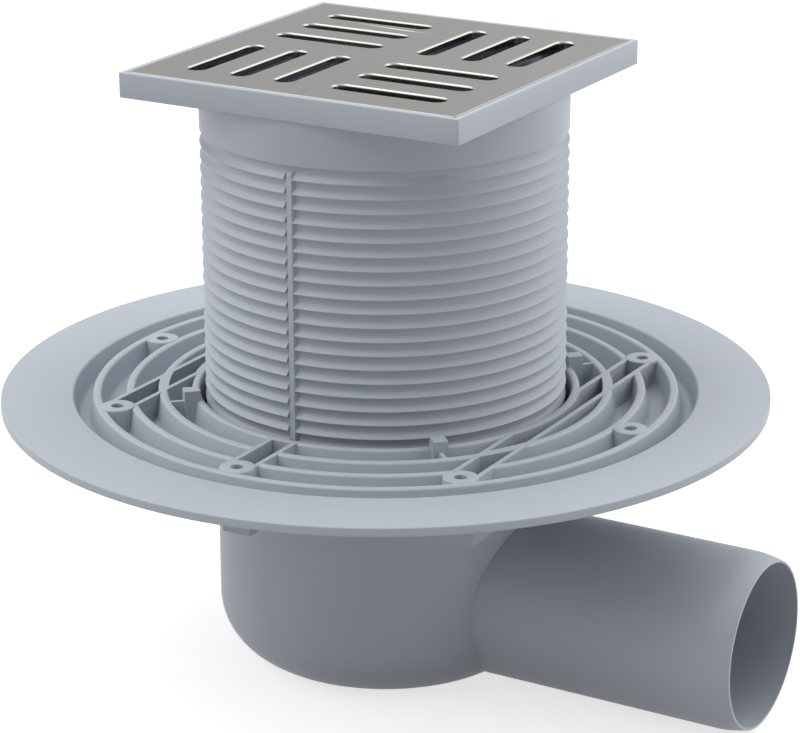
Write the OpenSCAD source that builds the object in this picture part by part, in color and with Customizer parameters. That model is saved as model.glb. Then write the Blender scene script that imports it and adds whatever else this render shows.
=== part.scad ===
// Gully trap: a low-profile floor drain with a horizontal outlet.
// A moulded body carries a wide collar for the floor membrane, a ribbed riser
// plugs into its socket, and a removable funnel and cup hold the water seal.
// Origin: centre of the flat underside of the bowl, +Z up, +X along the outlet.
// All sizes are in millimetres.

/* [Overall] */
// Height from the underside of the bowl to the top of the head frame
total_h = 176.4; // [165:0.1:200]
// Height of the top face of the collar flange
flange_z = 80.7; // [79:0.1:85]

/* [Head and grate] */
// Side of the square head frame
head_w = 105; // [104:1:120]
// Height of the head frame's edge
head_h = 7; // [6:0.5:10]
// Width of the thin rim round the grate
rim_w = 1.7; // [1.2:0.1:2.5]
// Gap between the grate and the rim on each side
grate_gap = 0.3; // [0.2:0.1:0.6]
// Thickness of the grate's sheet
sheet_t = 1; // [0.8:0.1:1.5]
// Depth of the grate's folded edge and slot lips, from its top face
lip_d = 2; // [1.8:0.1:2.6]
// Length of a grate slot over its rounded ends
slot_l = 35; // [28:0.5:36]
// Width of a grate slot at the top face
slot_w = 7; // [6:0.25:8]
// Distance between the middle lines of neighbouring slots
slot_pitch = 14; // [12:0.25:14.5]
// Clear distance from the grate's middle lines to the nearest slot
slot_inset = 5.5; // [4.5:0.25:6.5]
// How far a slot's edge rolls inwards
slot_roll = 0.9; // [0.5:0.1:1.2]

/* [Riser] */
// Outer radius of the riser at its neck and rib tips
riser_r = 51.7; // [50.5:0.1:52.2]
// Wall thickness of the riser behind the grooves
riser_wall = 2; // [1.8:0.1:2.3]
// Depth of the grooves between the ribs
groove_d = 1.3; // [0.8:0.1:1.6]
// Distance from one rib to the next
rib_pitch = 3.95; // [3.5:0.05:5]
// Number of ribs from the neck to the lower end
rib_count = 24; // [16:1:26]
// Width of the upright bar that crosses the ribs on two sides
bar_w = 2.2; // [1.5:0.1:4]

/* [Collar and rings] */
// Outer radius of the collar flange
flange_r = 109.9; // [105:0.1:120]
// Thickness of the collar flange
flange_t = 2.5; // [2:0.1:4]
// Width of the outermost channel in the collar
outer_channel_w = 5.6; // [4:0.1:8]
// Depth of the collar's channels
channel_d = 7; // [4:0.5:8]
// Thickness of the plate under the channels
plate_t = 2.2; // [1.8:0.1:3]
// Distance from one ring to the next
ring_pitch = 9.4; // [8:0.1:9.8]
// Width of a ring at its top
ring_w = 2.3; // [1.8:0.1:3]
// Radius of the rounding at the foot of a ring
foot_r = 1.6; // [0.8:0.1:2]

/* [Screw bosses] */
// Radius of a screw boss
boss_r = 4.8; // [4.3:0.1:5.2]
// Radius of a screw hole
screw_hole_r = 1.75; // [1:0.05:2.5]
// Depth of a screw hole
screw_hole_d = 14; // [8:1:16]
// Thickness of the webs beside the bosses
web_t = 1.4; // [1:0.1:2]
// Distance between the middle planes of a pair of webs
web_gap = 7.2; // [6:0.1:8]

/* [Socket] */
// Clearance between the riser and the socket's bore
socket_gap = 1.6; // [1.4:0.1:2.5]
// Thickness of the socket wall above the plate
socket_wall = 2.2; // [1.8:0.1:3]
// Height of the ledge that the riser stands on
ledge_z = 62.1; // [60:0.1:64]
// Thickness of the ledge
ledge_t = 2.7; // [2:0.1:4]
// Clearance under the riser's lower end
seat_gap = 0.3; // [0.2:0.05:0.5]
// Height of the riser seal
seal_h = 4; // [3:0.5:5]
// Distance from the flange top down to the riser seal
seal_drop = 8; // [7.5:0.5:10]
// Clearance between the seal lip and the riser
seal_gap = 0.06; // [0.02:0.01:0.1]
// Width of a socket lug
lug_w = 4; // [3:0.5:6]
// Height of a socket lug above the flange
lug_h = 3; // [1:0.5:5]
// How far a lug reaches out from the socket wall
lug_reach = 3.5; // [2:0.5:5]

/* [Bowl and outlet] */
// Outer radius of the bowl
bowl_r = 48.8; // [48:0.1:49.5]
// Wall thickness of the bowl
bowl_wall = 2.5; // [2:0.1:3]
// Outer radius of the rounding round the bowl's floor
bowl_round = 17.5; // [14:0.5:18]
// Outer radius of the outlet spigot
outlet_r = 25; // [23:0.5:25]
// Wall thickness of the outlet spigot
outlet_wall = 1.9; // [1.6:0.1:2.4]
// Distance from the bowl's axis to the end of the outlet
outlet_l = 120; // [112:0.5:150]
// Length of the tapered lead-in at the outlet's end
outlet_taper = 5.5; // [4:0.5:12]
// Height of the outlet's lowest line above the base
outlet_lift = 0.1; // [0.1:0.1:3]
// Distance from the bowl's axis to where the outlet's straight length begins
outlet_root_l = 58; // [54:1:80]

/* [Trap insert] */
// Clearance between the funnel's flange and the riser's bore
lift_gap = 0.5; // [0.3:0.1:0.8]
// Thickness of the funnel's walls
funnel_wall = 2; // [1.6:0.1:2.4]
// Clearance between the funnel and the bowl
funnel_gap = 0.5; // [0.3:0.05:0.7]
// Radius of the O-ring's section
oring_r = 1.4; // [1.2:0.05:1.5]
// Outer radius of the dip tube
dip_r = 20; // [16:0.5:22]
// Gap that the water falls through between the cup and the bowl
fall_gap = 5.5; // [4.5:0.5:9]
// Wall thickness of the cup
cup_wall = 2; // [1.5:0.1:2.5]
// Clearance between the cup and the bowl's floor
cup_lift = 3; // [2.5:0.25:5]
// Gap between the lower end of the dip tube and the cup's floor
dip_gap = 7; // [6:0.5:9]
// Open height between the cup's rim and the funnel
flow_gap = 5; // [5:0.5:8]
// Width of the cup's three arms
arm_w = 8; // [6:0.5:12]

/* [Hidden] */
$fn = 96;

pp_grey = "#b3bac3";
steel = "#a5a69f";
rubber = "#26282b";

// Overlap that makes cuts clean and joins solid
eps = 0.5;

// Head and grate
head_z = total_h - head_h;
seat_w = head_w - 2 * rim_w;
grate_w = seat_w - 2 * grate_gap;
grate_ledge_w = 2.6;
tray_w = seat_w - 2 * grate_ledge_w;
head_floor_t = 2;
tray_z = head_z + head_floor_t;
slot_open_w = slot_w - 2 * slot_roll;
slot_first = slot_inset + slot_w / 2;
slot_bevel_h = 0.3;
lip_join = 0.1;

// Riser
groove_r = riser_r - groove_d;
riser_bore_r = groove_r - riser_wall;
riser_end_z = ledge_z + seat_gap;
rib_top_z = riser_end_z + rib_count * rib_pitch;
rib_lip_h = 0.3;
groove_wall_part = 0.42;
groove_wall_h = groove_wall_part * rib_pitch;
flare_part = 0.3;
flare_rise_part = 0.55;
bar_set_back = 0.1;
bar_r = riser_r - bar_set_back;
bar_top_part = 0.6;
bar_top_z = rib_top_z - rib_pitch * bar_top_part;

// Socket, rings and screw circle
socket_r = riser_r + socket_gap;
socket_top_r = socket_r + socket_wall;
ring_count = 3;
rings = [for (k = [1:ring_count]) socket_top_r + k * ring_pitch];
channel_r = rings[ring_count - 1] + outer_channel_w;
boss_count = 8;
boss_lift = 0.2;
boss_top_z = flange_z + boss_lift;
boss_circle_r = (rings[ring_count - 2] + rings[ring_count - 1] - ring_w) / 2;

// Collar
plate_z = flange_z - channel_d;
plate_low_z = plate_z - plate_t;
lug_r = socket_top_r + lug_reach;
lug_web_t = 1.2;
lug_root = 1;
foot_out = 0.42;
foot_up = 0.16;
pocket_floor_t = 2;
box_low_z = ledge_z;
pocket_low_z = box_low_z + pocket_floor_t;

// Socket and riser seal
seal_top_z = flange_z - seal_drop;
seal_low_z = seal_top_z - seal_h;
seal_root_w = 1.7;
seal_root_r = socket_r + seal_root_w;
seal_fit = 0.05;
seal_band_gap = 0.6;
seal_band_r = socket_r - seal_band_gap;
socket_low_wall = 2.5;
socket_low_r = seal_root_r + socket_low_wall;
socket_low_z = ledge_z - ledge_t;

// Bowl and outlet
bowl_bore_r = bowl_r - bowl_wall;
outlet_z = outlet_r + outlet_lift;
outlet_bore_r = outlet_r - outlet_wall;
outlet_rim_t = 0.7;
outlet_draft = 0.4;
outlet_start_part = 0.68;
outlet_start = bowl_r * outlet_start_part;
outlet_bore_part = 0.78;
outlet_bore_start = bowl_r * outlet_bore_part;

// Trap insert
funnel_r = riser_bore_r - lift_gap;
cup_r = bowl_bore_r - fall_gap;
spigot_r = bowl_bore_r - funnel_gap;
spigot_h = 8;
spigot_low_z = ledge_z - spigot_h;
oring_fit = 0.05;
oring_play = 0.3;
oring_drop = 4.2;
oring_z = ledge_z - oring_drop;
oring_centre_r = bowl_bore_r - oring_fit - oring_r;
oring_slot_r = oring_centre_r - oring_r - oring_fit;
oring_slot_h = 2 * oring_r + oring_play;
funnel_slope_h = 8;
funnel_bore_r = oring_slot_r - funnel_wall;
dip_bore_r = dip_r - funnel_wall;
cup_low_z = bowl_wall + cup_lift;
cup_floor_z = cup_low_z + cup_wall;
cup_rim_z = spigot_low_z - flow_gap;
dip_low_z = cup_floor_z + dip_gap;
cup_round = 12;
arm_t = 2.5;
arm_root_h = 10;
arm_edge = 2;
funnel_flat_r = cup_r - arm_t - arm_edge;
handle_w = 7;
handle_t = 4;
handle_leg = 4;
handle_root = 1;
handle_lift = 7;
handle_z = ledge_z + handle_lift;

// Ring between two radii and two heights
module tube(r_out, r_in, z_low, z_high) {
    translate([0, 0, z_low]) difference() {
        cylinder(r = r_out, h = z_high - z_low);
        translate([0, 0, -eps]) cylinder(r = r_in, h = z_high - z_low + 2 * eps);
    }
}

// Solid disc between two heights
module disc(r, z_low, z_high) {
    translate([0, 0, z_low]) cylinder(r = r, h = z_high - z_low);
}

// Square slab centred on the axis
module slab(w, z_low, z_high) {
    translate([-w / 2, -w / 2, z_low]) cube([w, w, z_high - z_low]);
}

// Half section of a vessel with a rounded foot, from its axis to its wall
module vessel_section(r, round, z_low, z_high) {
    translate([0, z_low]) square([r - round, z_high - z_low]);
    translate([0, z_low + round]) square([r, z_high - z_low - round]);
    translate([r - round, z_low + round]) circle(r = round);
}

module vessel(r, round, z_low, z_high) {
    rotate_extrude() vessel_section(r, round, z_low, z_high);
}

// Places its children on every boss centre
module at_bosses() {
    for (k = [0:boss_count - 1])
        rotate(k * 360 / boss_count) translate([boss_circle_r, 0, 0]) children();
}

// Half section of the collar: flange, channel floor, rings and socket wall
module collar_section() {
    // Flange with the step down to the channel floor
    translate([channel_r, flange_z - flange_t])
        square([flange_r - channel_r, flange_t]);
    translate([channel_r, plate_low_z])
        square([plate_t, flange_z - plate_low_z]);
    // Channel floor
    translate([socket_r, plate_low_z])
        square([channel_r - socket_r + plate_t, plate_t]);
    // Socket wall, thicker below the floor where it holds the seal
    translate([socket_r, plate_low_z])
        square([socket_wall, flange_z - plate_low_z]);
    translate([bowl_bore_r, socket_low_z])
        square([socket_low_r - bowl_bore_r, ledge_t]);
    translate([socket_r, socket_low_z])
        square([socket_low_r - socket_r, plate_z - socket_low_z]);
    // Rings, each with a spread foot
    for (r = rings) ring_section(r);
    foot_section(socket_top_r, 1);
    foot_section(channel_r, -1);
}

module ring_section(r) {
    translate([r - ring_w, plate_low_z]) square([ring_w, flange_z - plate_low_z]);
    foot_section(r, 1);
    foot_section(r - ring_w, -1);
}

// Sloping foot between an upright wall at radius r and the channel floor
module foot_section(r, side) {
    a = foot_r;
    translate([r, plate_z]) scale([side, 1])
        polygon([[-eps, -eps], [a, -eps], [a, 0], [a * foot_out, a * foot_up],
                 [a * foot_up, a * foot_out], [0, a], [-eps, a]]);
}

// Long boxes that stiffen the collar along the chords between diagonal bosses
module chord_boxes(w, z_low, z_high) {
    side_x = boss_circle_r * sin(45);
    for (s = [-1, 1])
        translate([s * side_x - w / 2, -side_x, z_low])
            cube([w, 2 * side_x, z_high - z_low]);
}

// Short boxes from the socket to the front and back bosses
module radial_boxes(w, z_low, z_high) {
    for (s = [-1, 1])
        translate([-w / 2, s > 0 ? socket_r : -boss_circle_r, z_low])
            cube([w, boss_circle_r - socket_r, z_high - z_low]);
}

// Pockets inside the boxes, open at the top: only the first ring crosses a chord
module pockets() {
    w = web_gap - web_t;
    z_high = flange_z + eps;
    last_r = rings[ring_count - 1] - ring_w;
    difference() {
        union() {
            intersection() {
                chord_boxes(w, pocket_low_z, z_high);
                union() {
                    tube(rings[0] - ring_w, socket_top_r, pocket_low_z, z_high);
                    tube(last_r, rings[0], pocket_low_z, z_high);
                }
            }
            intersection() {
                radial_boxes(w, pocket_low_z, z_high);
                tube(last_r, socket_top_r, pocket_low_z, z_high);
            }
        }
        at_bosses() disc(boss_r, 0, total_h);
    }
}

// Lugs round the mouth of the socket, each tied to the first ring
module lugs() {
    for (k = [0:3]) rotate(45 + k * 90) {
        translate([socket_top_r - lug_root, -lug_w / 2, plate_low_z])
            cube([lug_reach + lug_root, lug_w, flange_z + lug_h - plate_low_z]);
        translate([lug_r - lug_root, -lug_web_t / 2, plate_low_z])
            cube([rings[0] - ring_w / 2 - lug_r + lug_root, lug_web_t, flange_z - plate_low_z]);
    }
}

// Outlet spigot with its drafted root and tapered lead-in
module outlet_solid() {
    translate([outlet_start, 0, outlet_z]) rotate([0, 90, 0])
        cylinder(r1 = outlet_r + outlet_draft, r2 = outlet_r, h = outlet_root_l - outlet_start);
    translate([outlet_root_l, 0, outlet_z]) rotate([0, 90, 0])
        cylinder(r = outlet_r, h = outlet_l - outlet_taper - outlet_root_l);
    translate([outlet_l - outlet_taper, 0, outlet_z]) rotate([0, 90, 0])
        cylinder(r1 = outlet_r, r2 = outlet_bore_r + outlet_rim_t, h = outlet_taper);
}

module outlet_bore() {
    translate([outlet_bore_start, 0, outlet_z]) rotate([0, 90, 0])
        cylinder(r = outlet_bore_r, h = outlet_l - outlet_bore_start + eps);
}

// Bowl, socket, collar and outlet: one moulding
module trap_body() {
    color(pp_grey) difference() {
        union() {
            rotate_extrude() collar_section();
            vessel(bowl_r, bowl_round, 0, ledge_z);
            outlet_solid();
            chord_boxes(web_gap + web_t, box_low_z, flange_z);
            radial_boxes(web_gap + web_t, box_low_z, flange_z);
            at_bosses() disc(boss_r, box_low_z, boss_top_z);
            lugs();
        }
        pockets();
        at_bosses() disc(screw_hole_r, boss_top_z - screw_hole_d, boss_top_z + eps);
        vessel(bowl_bore_r, bowl_round - bowl_wall, bowl_wall, flange_z);
        disc(socket_r, ledge_z, flange_z + eps);
        tube(seal_root_r, socket_r - eps, seal_low_z, seal_top_z);
        outlet_bore();
    }
}

// Half section of one rib: groove wall, flare and lip, with its ledge below
module rib_section(z_top) {
    z_low = z_top - rib_pitch;
    z_wall = z_top - groove_wall_h;
    rise = z_wall - z_low - rib_lip_h;
    polygon([[groove_r - eps, z_top], [groove_r, z_top], [groove_r, z_wall],
             [groove_r + groove_d * flare_part, z_wall - rise * flare_rise_part],
             [riser_r, z_low + rib_lip_h], [riser_r, z_low], [groove_r - eps, z_low]]);
}

// Ribbed tube and square head: one moulding
module riser() {
    color(pp_grey) difference() {
        union() {
            rotate_extrude() {
                translate([riser_bore_r - eps, rib_top_z])
                    square([riser_r - riser_bore_r + eps, head_z - rib_top_z + eps]);
                translate([riser_bore_r - eps, riser_end_z])
                    square([riser_wall + eps, rib_top_z - riser_end_z + eps]);
                for (k = [0:rib_count - 1]) rib_section(rib_top_z - k * rib_pitch);
            }
            riser_bars();
            slab(head_w, head_z, total_h);
        }
        slab(seat_w, total_h - lip_d, total_h + eps);
        slab(tray_w, tray_z, total_h);
        disc(riser_bore_r, 0, total_h);
    }
}

// Upright bars on both sides, just inside the rib tips
module riser_bars() {
    intersection() {
        tube(bar_r, riser_bore_r, riser_end_z, bar_top_z);
        translate([-bar_w / 2, -riser_r, riser_end_z])
            cube([bar_w, 2 * riser_r, bar_top_z - riser_end_z]);
    }
}

// Rubber ring with two wiping lips, held in the socket's groove
module riser_seal() {
    lip_r = riser_r + seal_gap;
    back_r = seal_root_r - seal_fit;
    z0 = seal_low_z + seal_fit;
    z1 = seal_top_z - seal_fit;
    h = z1 - z0;
    color(rubber) rotate_extrude()
        polygon([[back_r, z0], [back_r, z1], [seal_band_r, z1],
                 [lip_r, z1 - h * 0.1], [lip_r, z1 - h * 0.2], [seal_band_r, z1 - h * 0.4],
                 [seal_band_r, z0 + h * 0.35], [lip_r, z0 + h * 0.15],
                 [lip_r, z0 + h * 0.05], [seal_band_r, z0]]);
}

// Slot of the grate at the given width, lying along X from its inner end
module slot_shape(w) {
    trim = (slot_w - w) / 2;
    x0 = slot_inset + trim + w / 2;
    x1 = slot_inset + slot_l - trim - w / 2;
    translate([x0, -w / 2]) square([x1 - x0, w]);
    for (x = [x0, x1]) translate([x, 0]) circle(d = w, $fn = 32);
}

module slot_solid(w, z_low, z_high) {
    translate([0, 0, z_low]) linear_extrude(z_high - z_low) slot_shape(w);
}

// Three slots in each quarter, turned by a quarter from one to the next
module at_slots() {
    for (q = [0:3], k = [0:2])
        rotate(q * 90) translate([0, -slot_first - k * slot_pitch, 0]) children();
}

// Pressed stainless sheet with rolled slots and a folded edge
module grate() {
    z0 = total_h - lip_d;
    color(steel) difference() {
        union() {
            slab(grate_w, total_h - sheet_t, total_h);
            difference() {
                slab(grate_w, z0, total_h - sheet_t + lip_join);
                slab(grate_w - 2 * sheet_t, z0 - eps, total_h);
            }
            at_slots() slot_solid(slot_w, z0, total_h - sheet_t + lip_join);
        }
        at_slots() {
            slot_solid(slot_open_w, z0 - eps, total_h + eps);
            slot_solid(slot_w - slot_roll, total_h - slot_bevel_h, total_h + eps);
        }
    }
}

// Funnel that seals on the bowl and dips into the cup, with its lifting bar
module trap_funnel() {
    color(pp_grey) difference() {
        union() {
            rotate_extrude() polygon([
                [funnel_bore_r, ledge_z + funnel_wall], [funnel_r, ledge_z + funnel_wall],
                [funnel_r, ledge_z], [spigot_r, ledge_z], [spigot_r, spigot_low_z],
                [funnel_flat_r, spigot_low_z], [dip_r, spigot_low_z - funnel_slope_h],
                [dip_r, dip_low_z], [dip_bore_r, dip_low_z],
                [dip_bore_r, spigot_low_z - funnel_slope_h + funnel_wall / 2],
                [funnel_flat_r, spigot_low_z + funnel_wall],
                [funnel_bore_r, spigot_low_z + funnel_wall]]);
            intersection() {
                translate([-funnel_r, -handle_w / 2, ledge_z])
                    cube([2 * funnel_r, handle_w, handle_z - ledge_z + handle_t]);
                disc(funnel_bore_r + handle_root, ledge_z, total_h);
            }
        }
        translate([handle_leg - funnel_bore_r, -handle_w, ledge_z - eps])
            cube([2 * (funnel_bore_r - handle_leg), 2 * handle_w, handle_lift + eps]);
        tube(spigot_r + eps, oring_slot_r, oring_z - oring_slot_h / 2, oring_z + oring_slot_h / 2);
    }
}

// O-ring between the funnel's spigot and the bowl
module funnel_seal() {
    color(rubber) rotate_extrude()
        translate([oring_centre_r, oring_z]) circle(r = oring_r, $fn = 32);
}

// Cup that holds the water, hung from the funnel by three arms
module trap_cup() {
    color(pp_grey) difference() {
        union() {
            vessel(cup_r, cup_round, cup_low_z, cup_rim_z);
            for (k = [0:2]) rotate(60 + k * 120)
                translate([cup_r - arm_t, -arm_w / 2, cup_rim_z - arm_root_h])
                    cube([arm_t, arm_w, flow_gap + arm_root_h]);
        }
        vessel(cup_r - cup_wall, cup_round - cup_wall, cup_floor_z, cup_rim_z + eps);
    }
}

trap_body();
riser();
riser_seal();
grate();
trap_funnel();
funnel_seal();
trap_cup();
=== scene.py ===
# %% [markdown]
# # Gully trap
# A gully trap is a floor drain. Water falls through a square steel grate and a
# ribbed riser into a cup that stays full, so no smell comes back, and leaves by
# the pipe at the side. This lesson starts from the drain's measured solids. Body,
# riser and grate are made afresh with soft edges, the four parts inside keep
# their solids, and all seven are finished as moulded polypropylene, pressed
# stainless sheet or rubber.

# %% Start: load the measured solids
import math

import bmesh
import bpy
import numpy as np
from mathutils import Matrix, Vector
from mathutils.geometry import tessellate_polygon


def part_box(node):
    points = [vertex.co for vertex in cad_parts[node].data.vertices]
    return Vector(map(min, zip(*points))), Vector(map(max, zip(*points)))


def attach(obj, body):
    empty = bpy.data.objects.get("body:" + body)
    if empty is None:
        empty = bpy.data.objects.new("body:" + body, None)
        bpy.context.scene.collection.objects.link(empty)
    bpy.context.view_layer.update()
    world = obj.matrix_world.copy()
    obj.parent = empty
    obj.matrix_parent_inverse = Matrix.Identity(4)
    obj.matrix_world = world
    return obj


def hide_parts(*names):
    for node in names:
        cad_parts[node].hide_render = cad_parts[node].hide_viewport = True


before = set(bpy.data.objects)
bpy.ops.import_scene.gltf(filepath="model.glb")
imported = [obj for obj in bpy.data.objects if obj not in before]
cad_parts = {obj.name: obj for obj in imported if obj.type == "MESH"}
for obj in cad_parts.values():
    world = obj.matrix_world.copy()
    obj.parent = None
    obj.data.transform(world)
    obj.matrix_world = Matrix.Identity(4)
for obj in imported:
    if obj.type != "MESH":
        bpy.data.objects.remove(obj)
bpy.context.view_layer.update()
MM = 0.001
print("solids:", sorted(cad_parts))

# %% [markdown]
# ## Camera
# A long lens from more than three quarters of a metre away keeps the upright
# lines nearly parallel, as in a catalogue. The camera stands at a point, and an
# azimuth, a height angle and a small roll say where it looks, because these
# three are easier to reason about than a matrix.

# %% Camera
CAMERA_AT = Vector((0.389196, -0.660290, 0.353669))
CAMERA_AZIMUTH = math.radians(30.211)
CAMERA_ELEVATION = math.radians(19.301)
CAMERA_ROLL = math.radians(-0.181)
LENS, SENSOR_WIDTH = 127.24, 36
NEAREST, FURTHEST = 0.05, 20


def camera_matrix(place, azimuth, elevation, roll):
    """Matrix of a camera that stands at place and looks down its own -Z."""
    back = Vector((math.sin(azimuth) * math.cos(elevation),
                   -math.cos(azimuth) * math.cos(elevation), math.sin(elevation)))
    level = Vector((math.cos(azimuth), math.sin(azimuth), 0))
    upright = back.cross(level)
    right = level * math.cos(roll) + upright * math.sin(roll)
    up = upright * math.cos(roll) - level * math.sin(roll)
    turn = Matrix((right, up, back)).transposed().to_4x4()
    return Matrix.Translation(place) @ turn


camera = bpy.data.objects.new("camera", bpy.data.cameras.new("camera"))
bpy.context.scene.collection.objects.link(camera)
bpy.context.scene.camera = camera
camera.matrix_world = camera_matrix(
    CAMERA_AT, CAMERA_AZIMUTH, CAMERA_ELEVATION, CAMERA_ROLL)
camera.data.sensor_width = SENSOR_WIDTH
camera.data.lens = LENS
camera.data.clip_start, camera.data.clip_end = NEAREST, FURTHEST
print("camera distance, m:", round(CAMERA_AT.length, 3))

# %% [markdown]
# ## Node arithmetic
# A procedural material is a set of sums on masks. Wrapping a node's socket in
# a small class lets the sums be written as Python expressions, and one method
# adds any other node, in a material as well as in a Geometry Nodes tree.

# %% A value that can be added, multiplied and divided
class Value:
    """Output socket of a node, with the operators that the sums use."""

    def __init__(self, graph, socket):
        self.graph, self.socket = graph, socket

    def maths(self, operation, first, second):
        return self.graph.node("ShaderNodeMath", {"operation": operation}, [first, second])

    def __add__(self, other):
        return self.maths("ADD", self, other)

    def __radd__(self, other):
        return self.maths("ADD", other, self)

    def __mul__(self, other):
        return self.maths("MULTIPLY", self, other)

    def __rmul__(self, other):
        return self.maths("MULTIPLY", other, self)

    def __truediv__(self, other):
        return self.maths("DIVIDE", self, other)

    def __rtruediv__(self, other):
        return self.maths("DIVIDE", other, self)


# %% A node tree
class Graph:
    """A node tree that is written as a list of nodes."""

    def __init__(self, tree):
        self.tree = tree

    def node(self, kind, settings=None, values=(), out=0):
        """Adds a node: its settings first, then its sockets' values or links."""
        made = self.tree.nodes.new(kind)
        for name, value in (settings or {}).items():
            setattr(made, name, value)
        pairs = values.items() if isinstance(values, dict) else enumerate(values)
        for key, value in pairs:
            if isinstance(value, Value):
                self.tree.links.new(value.socket, made.inputs[key])
            else:
                made.inputs[key].default_value = value
        return Value(self, made.outputs[out])


# %% A material
class Finish(Graph):
    """A material, and the nodes that give it its detail."""

    def __init__(self, name, **constants):
        self.material = bpy.data.materials.new(name)
        self.material.use_nodes = True
        super().__init__(self.material.node_tree)
        self.surface = self.tree.nodes["Principled BSDF"]
        for socket, value in constants.items():
            self.surface.inputs[socket.replace("_", " ")].default_value = value

    def feed(self, socket, value):
        self.tree.links.new(value.socket, self.surface.inputs[socket])

    def place(self, scale=(1, 1, 1)):
        """Object coordinates, stretched by scale."""
        raw = self.node("ShaderNodeTexCoord", out="Object")
        return self.node("ShaderNodeMapping", values={"Vector": raw, "Scale": scale})

    def noise(self, where, size, detail=2.0, roughness=0.5):
        """Noise from 0 to 1 with blotches of about the given size, in metres."""
        return self.node("ShaderNodeTexNoise", values={
            "Vector": where, "Scale": 1 / size, "Detail": detail, "Roughness": roughness})

    def blend(self, mask, low, high):
        """Colour between low and high, by mask."""
        # A Mix node's sockets share their names, so they are called by number:
        # 0 is the factor, 6 and 7 are the colours, and output 2 is their mixture.
        return self.node("ShaderNodeMix", {"data_type": "RGBA"},
                         {0: mask, 6: (*low, 1), 7: (*high, 1)}, out=2)

    def between(self, mask, low, high):
        """Number between low and high, by mask, kept inside them."""
        return self.node("ShaderNodeMapRange",
                         values={"Value": mask, "To Min": low, "To Max": high})

    def bump(self, height, strength, depth, normal=None):
        """Normal that follows a height, over a depth in metres."""
        values = {"Strength": strength, "Distance": depth, "Height": height}
        if normal:
            values["Normal"] = normal
        return self.node("ShaderNodeBump", values=values)


# %% Colours
def linear(*levels):
    """Linear colour of an sRGB colour written in display levels from 0 to 255."""
    shares = [level / 255 for level in levels]
    return tuple(s / 12.92 if s <= 0.04045 else ((s + 0.055) / 1.055) ** 2.4
                 for s in shares)


def scaled(colour, share):
    return [channel * share for channel in colour]


# %% [markdown]
# ## Polypropylene
# Drains are moulded in grey polypropylene with a satin, slightly waxy skin. Up
# close the skin has a fine grain from the mould, and over the whole moulding
# the grey drifts a little where the melt cooled at different speeds. Layers of
# noise on the object's own coordinates give both, with no image and no seam, and
# a Bevel node softens the edges that are sharp in the mesh.

# %% Polypropylene
CLOUD_SIZE, SPECK_SIZE, GRAIN_SIZE = 45 * MM, 1.2 * MM, 0.6 * MM
CLOUD_SHARE = 0.75
COLOUR_DRIFT = 0.03
SATIN = (0.40, 0.54)
SOFT_EDGE, SKIN_DEPTH = 0.25 * MM, 0.05 * MM
GREY = linear(176, 182, 191)
INSERT_SHADE = 0.92


def moulded(name, colour):
    """Satin moulded plastic round a colour, with a fine grain and soft edges."""
    finish = Finish(name, IOR=1.49, Specular_IOR_Level=0.45)
    where = finish.place()
    cloud = finish.noise(where, CLOUD_SIZE, detail=3)
    speck = finish.noise(where, SPECK_SIZE, detail=2)
    shade = cloud * CLOUD_SHARE + speck * (1 - CLOUD_SHARE)
    finish.feed("Base Color", finish.blend(
        shade, scaled(colour, 1 - COLOUR_DRIFT), scaled(colour, 1 + COLOUR_DRIFT)))
    finish.feed("Roughness", finish.between(shade, *SATIN))
    soft_edge = finish.node("ShaderNodeBevel", {"samples": 6}, {"Radius": SOFT_EDGE})
    grain = finish.noise(where, GRAIN_SIZE, detail=3, roughness=0.6)
    finish.feed("Normal", finish.bump(grain, 0.12, SKIN_DEPTH, soft_edge))
    return finish.material


grey_plastic = moulded("grey_polypropylene", GREY)
insert_plastic = moulded("insert_polypropylene", scaled(GREY, INSERT_SHADE))
print("moulded finishes:", grey_plastic.name, insert_plastic.name)

# %% [markdown]
# ## Stainless sheet
# The grate is pressed from cold-rolled stainless sheet. Its skin is satin with
# a faint direction from the rolls, and slightly wavy, so reflections wander. A
# Mapping node squeezes the noise along Y, which draws its blotches out along X.

# %% Stainless sheet
STEEL = linear(171, 172, 166)
STREAK_SIZE, STREAK_STRETCH = 4 * MM, 14
WAVE_SIZE = 20 * MM
SHEEN = (0.12, 0.2)


def rolled_sheet(name, colour):
    """Satin metal whose skin is streaked along X and slightly wavy."""
    finish = Finish(name, Metallic=1.0)
    along_rolls = finish.place(scale=(1, STREAK_STRETCH, 1))
    streak = finish.noise(along_rolls, STREAK_SIZE, detail=4, roughness=0.65)
    wave = finish.noise(finish.place(), WAVE_SIZE, detail=2)
    finish.feed("Base Color", finish.blend(wave, scaled(colour, 0.94), colour))
    finish.feed("Roughness", finish.between(streak, *SHEEN))
    finish.feed("Normal", finish.bump(streak * 0.3 + wave, 0.10, SKIN_DEPTH))
    return finish.material


steel_sheet = rolled_sheet("stainless_sheet", STEEL)
print("sheet finish:", steel_sheet.name)

# %% [markdown]
# ## Rubber
# The seals are black rubber with a dusty, matt skin. One noise stands for the
# dust: where it lies, the rubber is paler, rougher and a little raised.

# %% Rubber
CLEAN_RUBBER, DUSTY_RUBBER = linear(30, 31, 33), linear(44, 45, 47)
DUST_SIZE = 6 * MM


def seal_rubber(name):
    """Matt black rubber under an uneven film of dust."""
    finish = Finish(name, Specular_IOR_Level=0.35)
    dust = finish.noise(finish.place(), DUST_SIZE, detail=4)
    finish.feed("Base Color", finish.blend(dust, CLEAN_RUBBER, DUSTY_RUBBER))
    finish.feed("Roughness", finish.between(dust, 0.55, 0.75))
    finish.feed("Normal", finish.bump(dust, 0.2, SKIN_DEPTH))
    return finish.material


black_rubber = seal_rubber("seal_rubber")
print("rubber finish:", black_rubber.name)

# %% [markdown]
# ## The parts inside
# The two seals, the funnel and the cup sit inside the drain, where little light
# reaches them. They could be made afresh too, but their measured solids already
# have the right shape, so a finish in their material slots is enough.

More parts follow.
